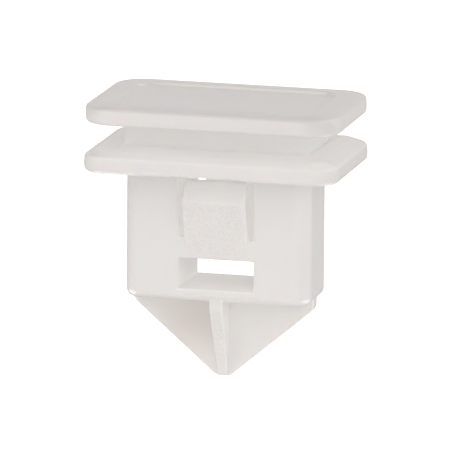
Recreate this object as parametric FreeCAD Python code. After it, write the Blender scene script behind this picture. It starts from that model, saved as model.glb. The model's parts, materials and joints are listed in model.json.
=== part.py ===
import FreeCAD, Part
import os

# Moulding clip: one piece of natural nylon that holds a trim moulding to a body panel.
# Millimetres, +Z up. The origin is the middle of the flange's underside, the face that seats on the panel.

# Head plate, which slides into the channel on the back of the moulding
HEAD_LENGTH = 24.0
HEAD_WIDTH = 15.1
HEAD_THICKNESS = 1.85
HEAD_CORNER_RADIUS = 2.85
HEAD_BEVEL_RUN = 1.45
HEAD_BEVEL_DROP = 0.26
HEAD_BROW_RADIUS = 0.35
HEAD_UNDER_RADIUS = 0.35

# Shallow pocket in the top of the head, the same distance in from the head's edge all round
POCKET_MARGIN = 2.6
POCKET_CORNER_RADIUS = 1.8
POCKET_DEPTH = 0.25
POCKET_WALL_RUN = 0.18
POCKET_EDGE_RADIUS = 0.15

# Flange, which seats on the panel
FLANGE_LENGTH = 24.0
FLANGE_WIDTH = 15.3
FLANGE_THICKNESS = 2.1
FLANGE_CORNER_RADIUS = 2.4
FLANGE_BEVEL_RUN = 1.45
FLANGE_BEVEL_DROP = 0.55
FLANGE_BROW_RADIUS = 0.4
FLANGE_UNDER_RADIUS = 0.45

# Both rims lean in this far from the mould's parting line, upwards and downwards
RIM_DRAFT = 0.06

# Shallow relief across the flange's underside, above the barbs
RELIEF_DEPTH = 0.26
RELIEF_END_RUN = 0.7

# Neck between the plates: its height is the groove that the channel's lips run in
GROOVE_HEIGHT = 2.4
NECK_LENGTH = 17.4
NECK_WIDTH = 7.2
NECK_FILLET = 0.35

# Shank, which goes through the panel's hole
SHANK_LENGTH = 17.5
SHANK_WIDTH = 7.36
SHANK_DEPTH = 12.25
SHANK_CORNER_RADIUS = 1.45
SHANK_TOE_RADIUS = 0.8

# Window through the shank, measured up from the toe: floor, opening, crossbar, then the barb
WINDOW_LENGTH = 7.1
FLOOR_THICKNESS = 1.2
OPENING_HEIGHT = 2.85
CROSSBAR_HEIGHT = 1.95
WINDOW_EDGE_RADIUS = 0.25
SLOT_EDGE_CHAMFER = 0.12

# Barbs, one on each face: bent leaf springs that stand on the crossbars between two slots
BARB_WIDTH = 6.0
BARB_ROOT_THICKNESS = 1.4
BARB_THICKNESS = 0.75
BARB_TOP_GAP = 0.83
BARB_RIDGE_DEPTH = 2.65
BARB_RIDGE_RISE = 1.4
BARB_TOP_RISE = 0.27
BARB_FOOT_HEIGHT = 0.6
BARB_SIDE_RADIUS = 0.5
BARB_RIDGE_RADIUS = 0.2

# Cross-shaped tip that leads the shank into the hole
TIP_LENGTH = 7.4
TIP_SHOULDER = 0.72
TIP_SHOULDER_RADIUS = 1.0
TIP_END_LENGTH = 1.45
TIP_END_RADIUS = 0.3
WEB_LENGTH = 17.1
WEB_THICKNESS = 1.35
WEB_EDGE_RADIUS = 0.15
RIB_TOP_THICKNESS = 1.24
RIB_END_THICKNESS = 1.0
RIB_SETBACK = 0.12
RIB_END_RISE = 0.25
RIB_EDGE_RADIUS = 0.2

# Sizes and heights that follow from those above
HEAD_BASE = FLANGE_THICKNESS + GROOVE_HEIGHT
POCKET_LENGTH = HEAD_LENGTH - 2 * POCKET_MARGIN
POCKET_WIDTH = HEAD_WIDTH - 2 * POCKET_MARGIN
TOE = -SHANK_DEPTH
FLOOR = TOE + FLOOR_THICKNESS
CROSSBAR_BASE = FLOOR + OPENING_HEIGHT
CROSSBAR_TOP = CROSSBAR_BASE + CROSSBAR_HEIGHT
BARB_FOOT = CROSSBAR_BASE + BARB_FOOT_HEIGHT
SLOT_WIDTH = (WINDOW_LENGTH - BARB_WIDTH) / 2
SLOT_END = CROSSBAR_TOP + SLOT_WIDTH / 2
SHOULDER = TOE - TIP_SHOULDER
TIP = TOE - TIP_LENGTH

UP = FreeCAD.Vector(0, 0, 1)
ALONG_X = FreeCAD.Vector(1, 0, 0)
ALONG_Y = FreeCAD.Vector(0, 1, 0)
NEAR = 1e-4


def outline(length, width, radius, z):
    """Closed wire of a rectangle with round corners, centred on the Z axis."""
    centre_x = length / 2 - radius
    centre_y = width / 2 - radius
    corners = [(1, 1, 0), (-1, 1, 90), (-1, -1, 180), (1, -1, 270)]
    arcs = []
    for side_x, side_y, start in corners:
        centre = FreeCAD.Vector(side_x * centre_x, side_y * centre_y, z)
        arcs.append(Part.makeCircle(radius, centre, UP, start, start + 90))
    edges = []
    for arc, following in zip(arcs, arcs[1:] + arcs[:1]):
        edges.append(arc)
        edges.append(Part.makeLine(arc.lastVertex().Point, following.firstVertex().Point))
    return Part.Wire(edges)


def inset_outline(length, width, radius, inset, z):
    """The same rectangle drawn in by one distance all round."""
    return outline(length - 2 * inset, width - 2 * inset, radius - inset, z)


def box(x_range, y_range, z_range):
    """Box between three pairs of coordinates."""
    corner = FreeCAD.Vector(x_range[0], y_range[0], z_range[0])
    return Part.makeBox(x_range[1] - x_range[0], y_range[1] - y_range[0], z_range[1] - z_range[0], corner)


def profile(points, direction):
    """Solid made by running a flat outline of points along a direction."""
    wire = Part.makePolygon(points + points[:1])
    return Part.Face(wire).extrude(direction)


def edges_where(shape, test):
    """Edges whose ends and middle all pass a test."""
    found = []
    for edge in shape.Edges:
        middle = edge.valueAt((edge.FirstParameter + edge.LastParameter) / 2)
        points = [vertex.Point for vertex in edge.Vertexes] + [middle]
        if all(test(point) for point in points):
            found.append(edge)
    return found


def edges_at_height(shape, z):
    """Edges that lie in one level plane."""
    return edges_where(shape, lambda point: abs(point.z - z) < NEAR)


def plate(length, width, thickness, corner, bevel_run, bevel_drop, brow, under, base):
    """Plate with a shallow bevel round its top and a rim that leans in from the parting line."""
    brow_height = base + thickness - bevel_drop
    parting = (base + brow_height) / 2
    sections = [
        inset_outline(length, width, corner, RIM_DRAFT, base),
        inset_outline(length, width, corner, 0, parting),
        inset_outline(length, width, corner, RIM_DRAFT, brow_height),
        inset_outline(length, width, corner, bevel_run, base + thickness),
    ]
    solid = Part.makeLoft(sections, True, True)
    solid = solid.makeFillet(under, edges_at_height(solid, base))
    return solid.makeFillet(brow, edges_at_height(solid, brow_height))


def head():
    """Head plate with its shallow pocket."""
    solid = plate(HEAD_LENGTH, HEAD_WIDTH, HEAD_THICKNESS, HEAD_CORNER_RADIUS,
                  HEAD_BEVEL_RUN, HEAD_BEVEL_DROP, HEAD_BROW_RADIUS, HEAD_UNDER_RADIUS, HEAD_BASE)
    top = HEAD_BASE + HEAD_THICKNESS
    floor = top - POCKET_DEPTH
    mouth = outline(POCKET_LENGTH, POCKET_WIDTH, POCKET_CORNER_RADIUS, top)
    bed = inset_outline(POCKET_LENGTH, POCKET_WIDTH, POCKET_CORNER_RADIUS, POCKET_WALL_RUN, floor)
    solid = solid.cut(Part.makeLoft([bed, mouth], True, True))
    rim = edges_where(solid, lambda point: abs(point.z - top) < NEAR
                      and abs(point.x) < POCKET_LENGTH / 2 + NEAR
                      and abs(point.y) < POCKET_WIDTH / 2 + NEAR)
    return solid.makeFillet(POCKET_EDGE_RADIUS, rim)


def flange():
    """Flange plate with the relief across its underside."""
    solid = plate(FLANGE_LENGTH, FLANGE_WIDTH, FLANGE_THICKNESS, FLANGE_CORNER_RADIUS,
                  FLANGE_BEVEL_RUN, FLANGE_BEVEL_DROP, FLANGE_BROW_RADIUS, FLANGE_UNDER_RADIUS, 0)
    mouth = (WINDOW_LENGTH + RELIEF_END_RUN) / 2
    roof = (WINDOW_LENGTH - RELIEF_END_RUN) / 2
    points = [
        FreeCAD.Vector(-mouth, -FLANGE_WIDTH, 0),
        FreeCAD.Vector(mouth, -FLANGE_WIDTH, 0),
        FreeCAD.Vector(roof, -FLANGE_WIDTH, RELIEF_DEPTH),
        FreeCAD.Vector(-roof, -FLANGE_WIDTH, RELIEF_DEPTH),
    ]
    return solid.cut(profile(points, ALONG_Y * (2 * FLANGE_WIDTH)))


def neck():
    """Block that joins flange and head."""
    half_length = NECK_LENGTH / 2
    half_width = NECK_WIDTH / 2
    return box((-half_length, half_length), (-half_width, half_width), (FLANGE_THICKNESS, HEAD_BASE))


def spool():
    """Flange, neck and head, with a fillet at each end of the neck."""
    solid = flange().fuse([neck(), head()]).removeSplitter()
    within_x = NECK_LENGTH / 2 + NEAR
    within_y = NECK_WIDTH / 2 + NEAR

    def at_neck_end(point):
        at_end = min(abs(point.z - FLANGE_THICKNESS), abs(point.z - HEAD_BASE)) < NEAR
        return at_end and abs(point.x) < within_x and abs(point.y) < within_y

    return solid.makeFillet(NECK_FILLET, edges_where(solid, at_neck_end))


def slot(side):
    """Cut beside the barbs, through both faces, with a round lower end."""
    radius = SLOT_WIDTH / 2
    centre = side * (BARB_WIDTH / 2 + radius)
    straight = box((centre - radius, centre + radius), (-SHANK_WIDTH, SHANK_WIDTH), (SLOT_END, 0))
    start = FreeCAD.Vector(centre, -SHANK_WIDTH, SLOT_END)
    end = Part.makeCylinder(radius, 2 * SHANK_WIDTH, start, ALONG_Y)
    return straight.fuse(end)


def shank_block():
    """The shank with its opening and slots, cleared above the crossbars for the barbs."""
    wire = outline(SHANK_LENGTH, SHANK_WIDTH, SHANK_CORNER_RADIUS, TOE)
    solid = Part.Face(wire).extrude(UP * SHANK_DEPTH)
    solid = solid.makeFillet(SHANK_TOE_RADIUS, edges_at_height(solid, TOE))
    window_x = (-WINDOW_LENGTH / 2, WINDOW_LENGTH / 2)
    through = (-SHANK_WIDTH, SHANK_WIDTH)
    opening = box(window_x, through, (FLOOR, CROSSBAR_BASE))
    solid = solid.cut([opening, slot(-1), slot(1)])
    half_width = SHANK_WIDTH / 2

    def on_faces(point):
        return abs(abs(point.y) - half_width) < NEAR and abs(point.x) < WINDOW_LENGTH / 2 + NEAR

    rim = edges_where(solid, lambda point: on_faces(point) and FLOOR - NEAR < point.z < CROSSBAR_BASE + NEAR)
    solid = solid.makeFillet(WINDOW_EDGE_RADIUS, rim)
    slot_rim = edges_where(solid, lambda point: on_faces(point) and CROSSBAR_TOP - NEAR < point.z)
    slot_rim = [edge for edge in slot_rim if edge.BoundBox.ZLength > NEAR]
    solid = solid.makeChamfer(SLOT_EDGE_CHAMFER, slot_rim)
    return solid.cut(box(window_x, through, (SLOT_END, 0)))


def barb(side):
    """One barb as a block with its outer shape: it stands in the crossbar and leans out to its ridge."""
    face = SHANK_WIDTH / 2
    root = face - BARB_ROOT_THICKNESS
    section = [
        (root, BARB_FOOT),
        (face, BARB_FOOT),
        (face + BARB_RIDGE_RISE, -BARB_RIDGE_DEPTH),
        (face + BARB_TOP_RISE, -BARB_TOP_GAP),
        (root, -BARB_TOP_GAP),
    ]
    half_width = BARB_WIDTH / 2
    points = [FreeCAD.Vector(-half_width, side * y, z) for y, z in section]
    solid = profile(points, ALONG_X * BARB_WIDTH)
    flank = edges_where(solid, lambda point: abs(point.y) > face - NEAR
                        and abs(abs(point.x) - half_width) < NEAR)
    solid = solid.makeFillet(BARB_SIDE_RADIUS, flank)
    crests = []
    for rise, depth in [(BARB_RIDGE_RISE, BARB_RIDGE_DEPTH), (BARB_TOP_RISE, BARB_TOP_GAP)]:
        crests += edges_where(solid, lambda point: abs(abs(point.y) - face - rise) < NEAR
                              and abs(point.z + depth) < NEAR)
    return solid.makeFillet(BARB_RIDGE_RADIUS, crests)


def hollow():
    """Space behind the barbs: it follows their outer shape, so that each barb is a bent leaf."""
    face = SHANK_WIDTH / 2
    root = face - BARB_ROOT_THICKNESS
    behind = face - BARB_THICKNESS
    side = [
        (root, FLOOR),
        (root, BARB_FOOT),
        (behind + BARB_RIDGE_RISE, -BARB_RIDGE_DEPTH),
        (behind + BARB_TOP_RISE, -BARB_TOP_GAP),
        (behind + BARB_TOP_RISE, 0),
    ]
    section = side + [(-y, z) for y, z in reversed(side)]
    points = [FreeCAD.Vector(-WINDOW_LENGTH / 2, y, z) for y, z in section]
    return profile(points, ALONG_X * WINDOW_LENGTH)


def web():
    """The tip's wide blade, in the plane of the shank's length."""
    half = WEB_LENGTH / 2
    end = TIP_END_LENGTH / 2
    root = TOE + SHANK_TOE_RADIUS
    section = [(-half, root), (-half, SHOULDER), (-end, TIP), (end, TIP), (half, SHOULDER), (half, root)]
    points = [FreeCAD.Vector(x, -WEB_THICKNESS / 2, z) for x, z in section]
    solid = profile(points, ALONG_Y * WEB_THICKNESS)
    solid = solid.makeFillet(TIP_SHOULDER_RADIUS, edges_at_height(solid, SHOULDER))
    corners = edges_where(solid, lambda point: abs(point.z - TIP) < NEAR and abs(abs(point.x) - end) < NEAR)
    solid = solid.makeFillet(TIP_END_RADIUS, corners)
    rim = edges_where(solid, lambda point: abs(abs(point.y) - WEB_THICKNESS / 2) < NEAR)
    rim = [edge for edge in rim if edge.BoundBox.ZMin < root - NEAR]
    return solid.makeFillet(WEB_EDGE_RADIUS, rim)


def ribs():
    """The two ribs across the web: tapered in both views, from the shank's faces to the tip."""
    reach = SHANK_WIDTH / 2 - RIB_SETBACK
    root = TOE + SHANK_TOE_RADIUS
    end_reach = WEB_THICKNESS / 2 + RIB_END_RISE
    side_section = [
        (-reach, root), (-reach, SHOULDER), (-end_reach, TIP),
        (end_reach, TIP), (reach, SHOULDER), (reach, root),
    ]
    side_points = [FreeCAD.Vector(-SHANK_LENGTH / 2, y, z) for y, z in side_section]
    side_view = profile(side_points, ALONG_X * SHANK_LENGTH)
    side_view = side_view.makeFillet(TIP_SHOULDER_RADIUS, edges_at_height(side_view, SHOULDER))
    top = RIB_TOP_THICKNESS / 2
    end = RIB_END_THICKNESS / 2
    front_section = [(-top, root), (-top, TOE), (-end, TIP), (end, TIP), (top, TOE), (top, root)]
    front_points = [FreeCAD.Vector(x, -SHANK_WIDTH / 2, z) for x, z in front_section]
    front_view = profile(front_points, ALONG_Y * SHANK_WIDTH)
    solid = front_view.common(side_view)
    outer = []
    for edge in solid.Edges:
        box_of_edge = edge.BoundBox
        upright = box_of_edge.ZLength > NEAR
        off_web = box_of_edge.YMin > WEB_THICKNESS / 2 or box_of_edge.YMax < -WEB_THICKNESS / 2
        if upright and off_web:
            outer.append(edge)
    return solid.makeFillet(RIB_EDGE_RADIUS, outer)


def tip():
    """Web and ribs, crossed at right angles."""
    return web().fuse(ribs()).removeSplitter()


def clip():
    """The whole clip as one solid."""
    shank = shank_block().fuse([barb(-1), barb(1)]).cut(hollow())
    shank = shank.fuse(tip()).removeSplitter()
    return spool().fuse(shank).removeSplitter()


def main():
    solid = clip()
    os.makedirs("parts", exist_ok=True)
    solid.exportStep("parts/moulding_clip.step")
    size = solid.optimalBoundingBox(True, False)
    print("solids", len(solid.Solids), "valid", solid.isValid(), "volume", round(solid.Volume, 2))
    print("size", round(size.XLength, 3), round(size.YLength, 3), round(size.ZLength, 3))


main()
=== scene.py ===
# %% [markdown]
# # A moulding clip in natural nylon
# This clip holds a strip of trim to a vehicle's body. The trim's channel slides onto the groove between
# the two plates, and the shank snaps into a slot in the sheet metal. It is one injection moulding, with
# no joints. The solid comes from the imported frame, and this lesson gives it smooth rounds with crisp
# edges, a milky nylon finish and the light of a small studio.

# %% Load the frame
import json
import math

import bmesh
import bpy
from mathutils import Matrix, Vector

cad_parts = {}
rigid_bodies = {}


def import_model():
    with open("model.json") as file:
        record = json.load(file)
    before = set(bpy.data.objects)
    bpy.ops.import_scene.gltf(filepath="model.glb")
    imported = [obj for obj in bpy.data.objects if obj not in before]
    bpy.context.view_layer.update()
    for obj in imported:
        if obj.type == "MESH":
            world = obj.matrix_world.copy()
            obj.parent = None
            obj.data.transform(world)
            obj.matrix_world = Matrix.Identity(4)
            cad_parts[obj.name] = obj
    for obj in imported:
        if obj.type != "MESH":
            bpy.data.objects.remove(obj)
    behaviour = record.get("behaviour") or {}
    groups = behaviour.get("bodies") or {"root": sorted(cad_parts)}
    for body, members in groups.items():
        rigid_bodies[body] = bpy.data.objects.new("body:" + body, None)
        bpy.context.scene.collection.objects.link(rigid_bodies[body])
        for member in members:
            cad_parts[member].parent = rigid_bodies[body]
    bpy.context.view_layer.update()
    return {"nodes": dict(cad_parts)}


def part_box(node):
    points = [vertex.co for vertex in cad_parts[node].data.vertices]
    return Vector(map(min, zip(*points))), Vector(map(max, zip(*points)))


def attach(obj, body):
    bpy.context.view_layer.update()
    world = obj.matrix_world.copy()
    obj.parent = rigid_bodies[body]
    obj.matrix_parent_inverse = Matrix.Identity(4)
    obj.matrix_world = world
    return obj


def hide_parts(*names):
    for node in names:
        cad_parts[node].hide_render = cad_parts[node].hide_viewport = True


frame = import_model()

MM = 0.001
NODE = "moulding_clip"
lowest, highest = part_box(NODE)


def in_mm(point):
    """A point in millimetres, rounded for printing."""
    return tuple(round(c / MM, 2) for c in point)


print("clip from", in_mm(lowest), "to", in_mm(highest))

# %% [markdown]
# ## The moulded body
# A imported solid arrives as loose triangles, so every edge would show, and the node itself may not be
# changed. One way is to model the clip again, which risks drifting from the real sizes. The better way
# here is a copy: its doubles are merged, the triangles of each flat face are dissolved into one polygon,
# and the rounds are shaded smooth.

# %% Merge a copy of the solid
MERGE_DISTANCE = 0.0001 * MM
FLAT_ANGLE = math.radians(0.5)


def merged_copy(node):
    """A bmesh of the node with its doubles merged and its flat faces whole."""
    copy = bmesh.new()
    copy.from_mesh(node.data)
    bmesh.ops.remove_doubles(copy, verts=copy.verts, dist=MERGE_DISTANCE)
    bmesh.ops.dissolve_limit(copy, angle_limit=FLAT_ANGLE, verts=copy.verts, edges=copy.edges)
    return copy


body_mesh = merged_copy(frame["nodes"][NODE])
print("merged body:", len(body_mesh.verts), "points,", len(body_mesh.faces), "faces")

# %% [markdown]
# ## Which edges stay crisp
# A moulding has rounds where the tool was rounded and crisp edges where two steel faces met. They could
# be picked by hand, but the angle between two faces tells them apart. The rounds in the solid turn by
# less than 30 degrees from one facet to the next, so an edge that turns by more than 35 is a real one
# and is marked sharp.

# %% Shade the rounds smooth and keep the real edges
CRISP_ANGLE = math.radians(35)


def shade(mesh):
    """Smooth faces, with sharp edges where the surface turns by more than the crisp angle."""
    for face in mesh.faces:
        face.smooth = True
    crisp = [edge for edge in mesh.edges if edge.calc_face_angle(0) > CRISP_ANGLE]
    for edge in crisp:
        edge.smooth = False
    return len(crisp)


print("crisp edges:", shade(body_mesh))

# %% [markdown]
# ## Faces that need their own finish
# Most of the clip has one finish, but a few faces differ, and some of them get painted shade or painted
# light. They could be separate materials, which would cut the surface into islands. Here each kind is an
# attribute on the faces, 1 where a test holds and 0 elsewhere, and the one material reads it as a weight.

# %% A helper that marks faces


def mark(mesh, name, holds):
    """Sets an attribute to 1 on the faces for which a test holds and to 0 on all others."""
    layer = mesh.faces.layers.float.new(name)
    for face in mesh.faces:
        face[layer] = float(holds(face))
    print(name, "faces:", sum(face[layer] > 0 for face in mesh.faces))


# %% [markdown]
# ## Where the tool was etched
# The lead-in faces of the barbs and ribs, which rub on the panel as the clip goes in, have a fine etched
# grain. They are the only faces that lean down and out to the front or the back, so their normals give
# them away.

# %% Mark the etched faces
ETCHED_LEAN = (-0.45, -0.15)
ETCHED_FACING = 0.85


def is_etched(face):
    leans = ETCHED_LEAN[0] < face.normal.z < ETCHED_LEAN[1]
    return leans and abs(face.normal.y) > ETCHED_FACING


mark(body_mesh, "etched", is_etched)

# %% [markdown]
# ## Where light seeps in
# The barbs are thin leaves over a hollow, and on the real clip daylight shines through them, so the slots
# beside them never look black. Tracing that through the walls takes very many bounces. A cheaper way is
# painted light: a faint glow on the faces that look into the hollow, found by their place and by the way
# they face.

# %% Mark the faces of the hollow
HOLLOW_MIDDLE = Vector((0, 0, -3.3)) * MM
HOLLOW_REACH = Vector((3.6, 4.4, 3.3)) * MM


def is_hollow(face):
    offset = face.calc_center_bounds() - HOLLOW_MIDDLE
    near = all(abs(step) < reach for step, reach in zip(offset, HOLLOW_REACH))
    return near and face.normal.dot(offset) < 0


mark(body_mesh, "hollow", is_hollow)

# %% [markdown]
# ## Where the webs are shaded
# The tip's webs are thin walls. Beside the rib and below the toe they lie in shade, and that shade is
# painted into their colour as a warm amber, faint over the whole webs. Their wide faces are the only
# upright ones below the toe that look to the front or the back from close to the middle plane.

# %% Mark the webs for painted shade
TOE_HEIGHT = -12.25 * MM
WEB_REACH = 1.0 * MM
WEB_FACING = 0.99


# The webs' wide faces, whose colour carries painted shade.
def is_shaded_web(face):
    centre = face.calc_center_bounds()
    upright = abs(face.normal.y) > WEB_FACING and abs(centre.y) < WEB_REACH
    return upright and centre.z < TOE_HEIGHT


mark(body_mesh, "shaded_web", is_shaded_web)

# %% [markdown]
# ## The head's crowned rim
# The rim of the head is slightly crowned on the real clip and looks up more the higher it gets, which the
# solid's flat rim does not show. A new bevel would give the copy another form than the solid's, so the
# rim is only marked, and the shader turns its normals up. Its faces are the upright ones of the head,
# away from the pocket.

# %% Mark the head's rim
HEAD_BASE = 4.5 * MM
RIM_LEAN = 0.8
RIM_INSET = 2.0 * MM


def is_rim(face):
    centre = face.calc_center_bounds()
    outside = any(abs(centre[axis]) > highest[axis] - RIM_INSET for axis in (0, 1))
    return outside and centre.z > HEAD_BASE and face.normal.z < RIM_LEAN


mark(body_mesh, "rim", is_rim)

# %% [markdown]
# ## Where the pocket's wall is shaded
# The shallow pocket in the top of the head has a low wall all round. Painted shade dulls the wall, so it
# does not stand out as a bright line. Its faces are the leaning ones just below the top and well inside
# the head's edge.

# %% Mark the pocket's wall for painted shade
POCKET_DEPTH = 0.3 * MM
WALL_LEAN = 0.97


# The pocket wall's faces, whose colour carries painted shade.
def is_shaded_pocket_wall(face):
    centre = face.calc_center_bounds()
    inside = all(abs(centre[axis]) < highest[axis] - RIM_INSET for axis in (0, 1))
    return inside and centre.z > highest.z - POCKET_DEPTH and face.normal.z < WALL_LEAN


mark(body_mesh, "shaded_pocket_wall", is_shaded_pocket_wall)

# %% [markdown]
# ## The finished piece
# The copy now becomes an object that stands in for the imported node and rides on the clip's only body.
# Plain smooth shading would bend the light across the large flat faces. Weighted normals let those faces
# set the shading instead, so the narrow rounds between them catch a clean line of light.

# %% Finish the body


def as_object(mesh, name):
    """Turns a bmesh into an object of the scene."""
    data = bpy.data.meshes.new(name)
    mesh.to_mesh(data)
    mesh.free()
    made = bpy.data.objects.new(name, data)
    bpy.context.scene.collection.objects.link(made)
    return made


body = as_object(body_mesh, "clip_body")
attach(body, "root")
weighted = body.modifiers.new("even_normals", "WEIGHTED_NORMAL")
weighted.keep_sharp = True
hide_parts(NODE)
print("finished", body.name, "with", len(body.data.polygons), "faces")

# %% [markdown]
# ## Shader maths as plain expressions
# A node tree is easier to read as sums and products. A Value wraps one output socket, and each operator
# on it adds the Math node that it stands for. A Shader holds the tree, and every other node comes from
# its method node, which takes a type, settings and inputs.

# %% A small class for sockets


class Shader:
    """A node tree, with one method that adds a node and short names for the usual ones."""

    def __init__(self, owner):
        owner.use_nodes = True
        self.owner = owner
        self.tree = owner.node_tree
        self.tree.nodes.clear()

    def node(self, kind, settings=None, inputs=None, output=0):
        made = self.tree.nodes.new(kind)
        for key, value in (settings or {}).items():
            setattr(made, key, value)
        for key, value in (inputs or {}).items():
            self.feed(self.find(made.inputs, key), value)
        return Value(self, self.find(made.outputs, output))

    def find(self, sockets, key):
        """A socket by its number, its identifier or its name."""
        if isinstance(key, int):
            return sockets[key]
        by_identifier = {socket.identifier: socket for socket in sockets}
        return by_identifier.get(key) or sockets[key]

    def feed(self, socket, value):
        if isinstance(value, Value):
            self.tree.links.new(value.socket, socket)
        else:
            socket.default_value = value

    def attribute(self, name):
        """A mark on the faces, as a weight."""
        return self.node("ShaderNodeAttribute", {"attribute_name": name}, output="Fac")

    def height(self, vector):
        return self.node("ShaderNodeSeparateXYZ", None, {"Vector": vector}, "Z")

    def vector_math(self, operation, *vectors, output="Vector"):
        inputs = dict(enumerate(vectors))
        return self.node("ShaderNodeVectorMath", {"operation": operation}, inputs, output)

    def mix_colours(self, factor, first, second):
        inputs = {"Factor_Float": factor, "A_Color": first, "B_Color": second}
        return self.node("ShaderNodeMix", {"data_type": "RGBA"}, inputs, "Result_Color")

    def noise(self, place, size, detail):
        """Noise whose features are about one size across, in metres."""
        inputs = {"Vector": place, "Scale": 1 / size, "Detail": detail}
        return self.node("ShaderNodeTexNoise", {"noise_dimensions": "3D"}, inputs)

    def ramp(self, value, start, end=(0.0, 1.0)):
        """A value moved from one range to another and kept inside it."""
        inputs = {"Value": value, "From Min": start[0], "From Max": start[1],
                  "To Min": end[0], "To Max": end[1]}
        return self.node("ShaderNodeMapRange", None, inputs)

    def finish(self, kind, surface):
        end = self.tree.nodes.new(kind)
        self.feed(end.inputs["Surface"], surface)
        return self.owner


class Value:
    """One output socket that takes part in sums, products and comparisons."""

    def __init__(self, shader, socket):
        self.shader = shader
        self.socket = socket

    def math(self, operation, first, second):
        return self.shader.node("ShaderNodeMath", {"operation": operation}, {0: first, 1: second})

    def __add__(self, other):
        return self.math("ADD", self, other)

    def __radd__(self, other):
        return self.math("ADD", other, self)

    def __sub__(self, other):
        return self.math("SUBTRACT", self, other)

    def __rsub__(self, other):
        return self.math("SUBTRACT", other, self)

    def __mul__(self, other):
        return self.math("MULTIPLY", self, other)

    def __rmul__(self, other):
        return self.math("MULTIPLY", other, self)

    def __lt__(self, other):
        return self.math("LESS_THAN", self, other)

    def __gt__(self, other):
        return self.math("GREATER_THAN", self, other)


# %% [markdown]
# ## The nylon's colour
# Unpigmented nylon is milky and gives back nearly all the light that falls on it, so its colour lies close
# to white, with a faint cloud. The darker places could be painted on a picture, which would have to be
# drawn for every side. Here the marks on the faces are the weights of a few mixes: the grain darkens the
# etched faces, and painted shade turns the webs amber round one spot and dulls the pocket's wall.

# %% Colour of the nylon
NYLON_CLEAR = (0.997, 0.995, 0.992, 1.0)
NYLON_CLOUD = (0.992, 0.989, 0.984, 1.0)
NYLON_GRAIN = (0.912, 0.907, 0.899, 1.0)
# Painted shade for the webs, warm amber.
NYLON_WEB_SHADE = (0.858, 0.822, 0.783, 1.0)
# Painted shade for the pocket's wall.
NYLON_POCKET_SHADE = (0.900, 0.890, 0.875, 1.0)
CLOUD_SIZE = 5.0 * MM
CLOUD_DETAIL = 3.0
# Where the painted shade on the webs is darkest, how far it reaches and how strong it is.
WEB_SHADE_SPOT = Vector((-3.3, 0, -14.8)) * MM
WEB_SHADE_REACH = (0.5 * MM, 4.0 * MM)
WEB_SHADE_SHARE = (1.0, 0.2)


def nylon_colour(shader, place, grain):
    """Milky white with a faint cloud, darker in the grain, with painted shade on the webs and the pocket's
    wall.
    """
    cloud = shader.noise(place, CLOUD_SIZE, CLOUD_DETAIL)
    colour = shader.mix_colours(cloud, NYLON_CLEAR, NYLON_CLOUD)
    colour = shader.mix_colours(grain, colour, NYLON_GRAIN)
    away = shader.vector_math("DISTANCE", place, WEB_SHADE_SPOT, output="Value")
    # Painted shade on the webs, strongest at one spot beside the rib and faint over the rest.
    painted_web_shade = shader.attribute("shaded_web") * shader.ramp(away, WEB_SHADE_REACH, WEB_SHADE_SHARE)
    colour = shader.mix_colours(painted_web_shade, colour, NYLON_WEB_SHADE)
    # Painted shade on the pocket's wall.
    return shader.mix_colours(shader.attribute("shaded_pocket_wall"), colour, NYLON_POCKET_SHADE)


# %% [markdown]
# ## The nylon's relief
# The satin skin and the etched grain are far finer than the mesh, so they are not modelled. A Bump node
# tilts the normals as if the surface rose and fell. It starts from the mesh's own normals, and on the
# head's rim these are turned up first, the more the higher they lie, which gives the crown.

# %% Normals of the nylon
SATIN_RELIEF = 0.3
GRAIN_RELIEF = 2.5
RELIEF_DEPTH = 0.02 * MM
RELIEF_STRENGTH = 0.5
RIM_SPAN = (HEAD_BASE, highest.z)
RIM_RISE = (0.45, 0.62)


def nylon_normal(shader, place, satin, grain):
    """The mesh's normals, turned up on the head's rim and tilted by the satin and the grain."""
    rise = shader.attribute("rim") * shader.ramp(shader.height(place), RIM_SPAN, RIM_RISE)
    lift = shader.node("ShaderNodeCombineXYZ", None, {"Z": rise})
    plain = shader.node("ShaderNodeNewGeometry", output="Normal")
    crowned = shader.vector_math("NORMALIZE", shader.vector_math("ADD", plain, lift))
    return shader.node("ShaderNodeBump", None, {
        "Height": SATIN_RELIEF * satin + GRAIN_RELIEF * grain,
        "Strength": RELIEF_STRENGTH,
        "Distance": RELIEF_DEPTH,
        "Normal": crowned,
    })


# %% [markdown]
# ## Natural nylon
# Light that enters milky nylon comes out again close by, which takes a little subsurface scattering. A
# full volume would do the same more slowly. The gaps fill with light that has crossed them many times, so
# the bounces are many. The skin is satin under a thin shine, and the etched faces are rougher and lose
# most of the shine. The hollow's faces glow with painted light for the light that seeps in, and the etched
# faces of the barbs and ribs get the same painted glow, which brightens them.

# %% The nylon material
SATIN_SIZE = 0.5 * MM
SATIN_DETAIL = 4.0
GRAIN_SIZE = 0.15 * MM
GRAIN_DETAIL = 2.0
SPECKLE_RANGE = (0.42, 0.58)
SATIN_ROUGHNESS = 0.26
SATIN_SPREAD = 0.06
ETCH_ROUGHNESS = 0.1
NYLON_IOR = 1.53
SCATTER_SHARE = 0.2
SCATTER_DEPTH = 1.0 * MM
SHINE = 0.3
SHINE_LOST = 0.2
SHINE_ROUGHNESS = 0.1
NO_LIGHT = (0.0, 0.0, 0.0, 1.0)
# A painted glow, for light that seeps through the walls and for brighter etched faces.
PAINTED_GLOW = (0.044, 0.042, 0.041, 1.0)
LIGHT_BOUNCES = 32


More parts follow.
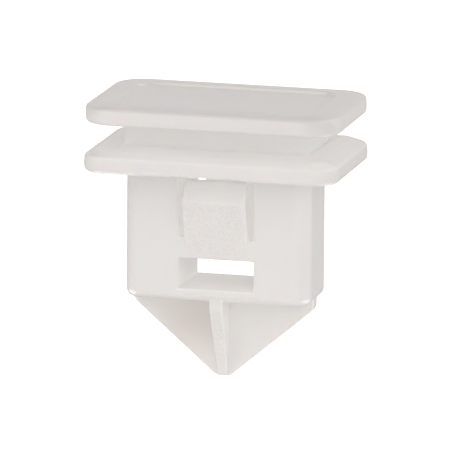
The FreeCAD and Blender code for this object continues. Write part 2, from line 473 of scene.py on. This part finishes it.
def nylon():
    shader = Shader(bpy.data.materials.new("natural_nylon_clip"))
    place = shader.node("ShaderNodeTexCoord", output="Object")
    etched = shader.attribute("etched")
    satin = shader.noise(place, SATIN_SIZE, SATIN_DETAIL)
    speckle = shader.noise(place, GRAIN_SIZE, GRAIN_DETAIL)
    grain = etched * shader.ramp(speckle, SPECKLE_RANGE)
    # Painted light on the hollow's faces and on the etched faces.
    painted_glow = shader.attribute("hollow") + etched
    surface = shader.node("ShaderNodeBsdfPrincipled", None, {
        "Base Color": nylon_colour(shader, place, grain),
        "Roughness": SATIN_ROUGHNESS + SATIN_SPREAD * satin + ETCH_ROUGHNESS * etched,
        "IOR": NYLON_IOR,
        "Normal": nylon_normal(shader, place, satin, grain),
        "Subsurface Weight": SCATTER_SHARE,
        "Subsurface Scale": SCATTER_DEPTH,
        "Coat Weight": SHINE - SHINE_LOST * etched,
        "Coat Roughness": SHINE_ROUGHNESS,
        "Emission Color": shader.mix_colours(painted_glow, NO_LIGHT, PAINTED_GLOW),
        "Emission Strength": 1.0,
    })
    return shader.finish("ShaderNodeOutputMaterial", surface)


body.data.materials.append(nylon())
for kind in ("max_bounces", "diffuse_bounces", "glossy_bounces"):
    setattr(bpy.context.scene.cycles, kind, LIGHT_BOUNCES)
print("nylon on", body.name, "with", LIGHT_BOUNCES, "bounces of light")

# %% [markdown]
# ## The studio
# The clip is shown on white with almost no shadow. A pale floor glows a little, and a soft surround takes
# the place of the walls. White walls would wash out the clip's own shading, so the camera sees both as
# plain white, and the clip sees them dimmer and warm. Glossy rays miss the floor, so the rounds mirror
# the dim ground below it and keep their shade.

# %% Floor and surround
FLOOR_RADIUS = 1.0
FLOOR_SEGMENTS = 96
FLOOR_COLOUR = (0.85, 0.85, 0.85, 1.0)
FLOOR_ROUGHNESS = 0.9
FLOOR_GLOW = 0.13
WALL_GLOW = 0.67
WALL_TOP = 0.5
GROUND_GLOW = 0.45
HORIZON = 0.0
WARM = (1.0, 0.97, 0.945, 1.0)
WHITE = (1.0, 1.0, 1.0, 1.0)


def dimmed(colour, strength):
    """A colour at part of its strength."""
    return (*(strength * part for part in colour[:3]), 1.0)


def white_to_camera(shader, colour):
    """A colour that the camera alone sees as plain white."""
    seen = shader.node("ShaderNodeLightPath", output="Is Camera Ray")
    return shader.mix_colours(seen, colour, WHITE)


def studio_floor():
    disc = bmesh.new()
    bmesh.ops.create_circle(disc, cap_ends=True, segments=FLOOR_SEGMENTS, radius=FLOOR_RADIUS,
                            matrix=Matrix.Translation((0, 0, lowest.z)))
    floor = as_object(disc, "studio_floor")
    shader = Shader(bpy.data.materials.new("pale_floor"))
    surface = shader.node("ShaderNodeBsdfPrincipled", None, {
        "Base Color": FLOOR_COLOUR,
        "Roughness": FLOOR_ROUGHNESS,
        "Emission Color": white_to_camera(shader, dimmed(WARM, FLOOR_GLOW)),
        "Emission Strength": 1.0,
    })
    floor.data.materials.append(shader.finish("ShaderNodeOutputMaterial", surface))
    floor.visible_glossy = False


def studio_surround():
    shader = Shader(bpy.data.worlds.new("surround"))
    height = shader.height(shader.node("ShaderNodeTexCoord", output="Generated"))
    walls = shader.mix_colours(height < WALL_TOP, NO_LIGHT, dimmed(WARM, WALL_GLOW))
    around = shader.mix_colours(height < HORIZON, walls, dimmed(WARM, GROUND_GLOW))
    colour = white_to_camera(shader, around)
    glow = shader.node("ShaderNodeBackground", None, {"Color": colour, "Strength": 1.0})
    bpy.context.scene.world = shader.finish("ShaderNodeOutputWorld", glow)


studio_floor()
studio_surround()
print("floor at", in_mm(lowest)[2], "mm")

# %% [markdown]
# ## Three soft panels
# One large panel stands at the front right, one higher at the front left and one high at the back right.
# A lamp is set by its power, which has to grow with its area. A panel's power for a wanted brightness is
# pi times its area times that brightness, so the brightness can be given as a plain number beside the
# surround's.

# %% Soft panels
PANEL_SIDE = 0.45
PANEL_DISTANCE = 0.6
PANELS = {  # azimuth and elevation in degrees, then brightness
    "front_right_panel": (315, 25, 1.24),
    "front_left_panel": (225, 45, 1.95),
    "back_right_panel": (45, 45, 1.65),
}
ORIGIN = Vector((0, 0, 0))


def area_lamp(name, width, length, brightness, place, target):
    """A rectangle of light of one brightness that faces a target and stays out of the picture."""
    light = bpy.data.lights.new(name, "AREA")
    light.shape = "RECTANGLE"
    light.size = width
    light.size_y = length
    light.energy = math.pi * width * length * brightness
    light.color = WARM[:3]
    lamp = bpy.data.objects.new(name, light)
    lamp.location = place
    lamp.rotation_mode = "QUATERNION"
    lamp.rotation_quaternion = (target - place).to_track_quat("-Z", "Y")
    lamp.visible_camera = False
    bpy.context.scene.collection.objects.link(lamp)
    return lamp


for panel, (azimuth, elevation, brightness) in PANELS.items():
    around = Matrix.Rotation(math.radians(azimuth), 3, "Z")
    upwards = Matrix.Rotation(-math.radians(elevation), 3, "Y")
    place = around @ upwards @ Vector((PANEL_DISTANCE, 0, 0))
    area_lamp(panel, PANEL_SIDE, PANEL_SIDE, brightness, place, ORIGIN)
print("panels:", len(PANELS))

# %% [markdown]
# ## Bright patches for the highlights
# Small white highlights sit on the rounds under the plates and on the shank's toe, at both ends. Brighter
# panels would give them too, and would wash out the shading. Two patches lie just above the floor instead,
# and only glossy rays see them, so they add the highlights and leave the shading as it is.

# %% Patches beside the clip
PATCH_LIFT = 0.5 * MM
PATCHES = {  # two corners, then brightness
    "left_patch": (Vector((-30, -12)) * MM, Vector((-12, -1)) * MM, 5.0),
    "right_patch": (Vector((15, -8)) * MM, Vector((34, 8)) * MM, 3.5),
}
UP = Vector((0, 0, 1))

for patch, (near, far, brightness) in PATCHES.items():
    place = ((near + far) / 2).to_3d() + (lowest.z + PATCH_LIFT) * UP
    lamp = area_lamp(patch, *(far - near), brightness, place, place + UP)
    lamp.visible_diffuse = False
print("patches:", len(PATCHES))

# %% [markdown]
# ## The camera
# The clip is seen a little from its right and a little from above, through a long lens, so the plates'
# edges stay nearly parallel. The lens could be found by trial. Here the field's width at the clip's
# distance sets it.

# %% Camera
VIEW_AZIMUTH = math.radians(14.538)
VIEW_ELEVATION = math.radians(12.25)
VIEW_ROLL = math.radians(0.418)
VIEW_DISTANCE = 773.65 * MM
FIELD_WIDTH = 41.47 * MM
AIM = Vector((0.16, -0.54, -5.63)) * MM

sight = Vector((-math.sin(VIEW_AZIMUTH) * math.cos(VIEW_ELEVATION),
                math.cos(VIEW_AZIMUTH) * math.cos(VIEW_ELEVATION),
                -math.sin(VIEW_ELEVATION)))
lens = bpy.data.cameras.new("long_lens")
lens.lens = lens.sensor_width * VIEW_DISTANCE / FIELD_WIDTH
camera = bpy.data.objects.new("camera", lens)
camera.location = AIM - VIEW_DISTANCE * sight
camera.rotation_mode = "QUATERNION"
camera.rotation_quaternion = sight.to_track_quat("-Z", "Y")
camera.rotation_quaternion.rotate(Matrix.Rotation(-VIEW_ROLL, 3, sight).to_quaternion())
bpy.context.scene.collection.objects.link(camera)
bpy.context.scene.camera = camera
bpy.context.scene.view_settings.view_transform = "Standard"
print("lens", round(lens.lens, 1), "mm at", in_mm(camera.location))
